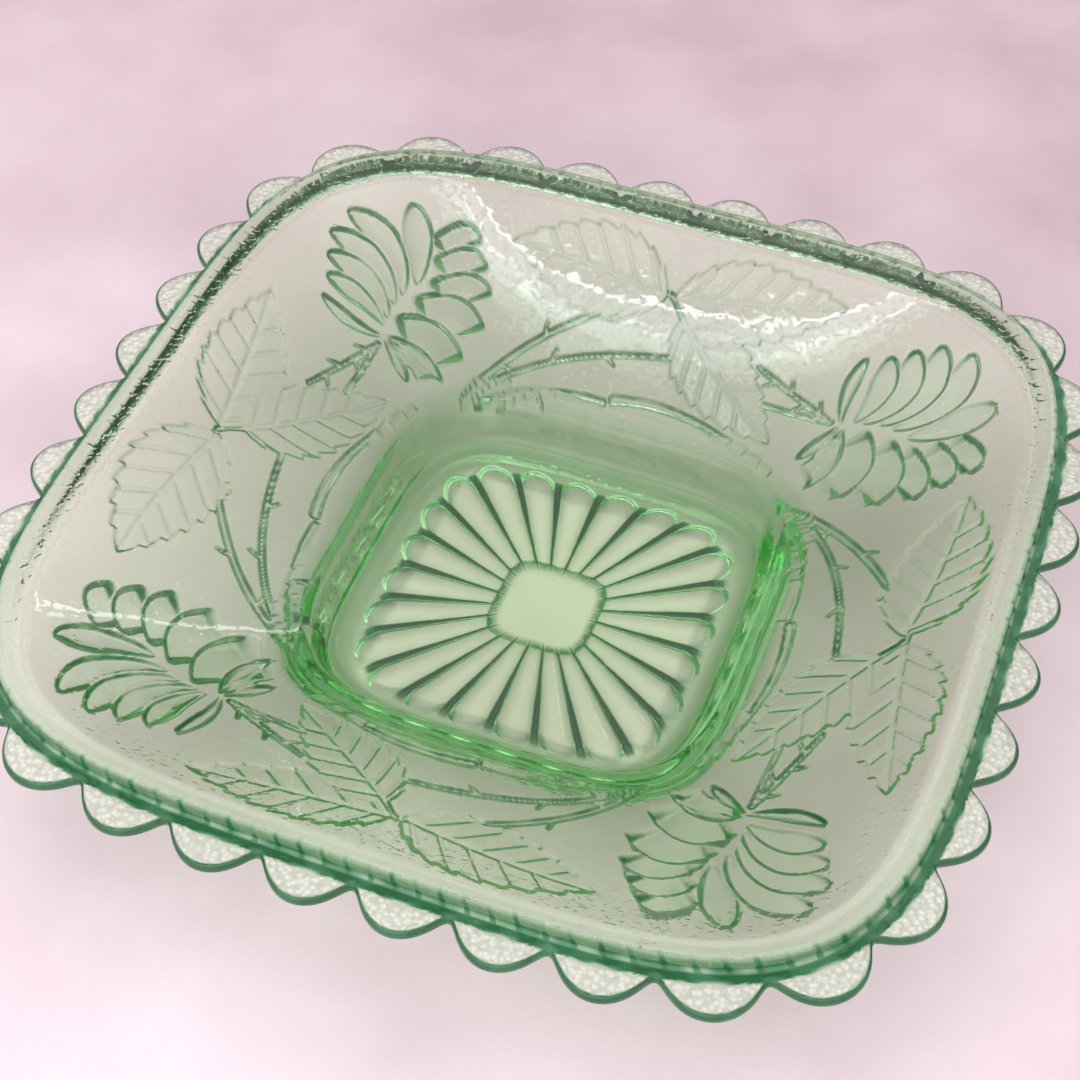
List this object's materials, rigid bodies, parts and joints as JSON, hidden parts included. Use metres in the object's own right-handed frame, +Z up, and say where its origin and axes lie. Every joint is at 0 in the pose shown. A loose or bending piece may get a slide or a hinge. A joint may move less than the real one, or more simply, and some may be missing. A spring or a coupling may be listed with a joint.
{
  "type": "square pressed-glass dish",
  "caption": "Square pressed-glass bowl with rounded corners, a scalloped rim, a sunken floor with a star of flutes, and a low foot.",
  "frame": {"origin": "on the table, under the centre of the dish, in the plane of the foot", "axes": "+Z up out of the bowl, X and Y square to its sides"},
  "size_m": [0.2116, 0.2116, 0.043],
  "materials": {
    "glass": "fire-polished pale green uranium glass, clear, with pressed relief and fine pitting"
  },
  "bodies": {
    "root": {"dish": "glass"}
  },
  "joints": []
}
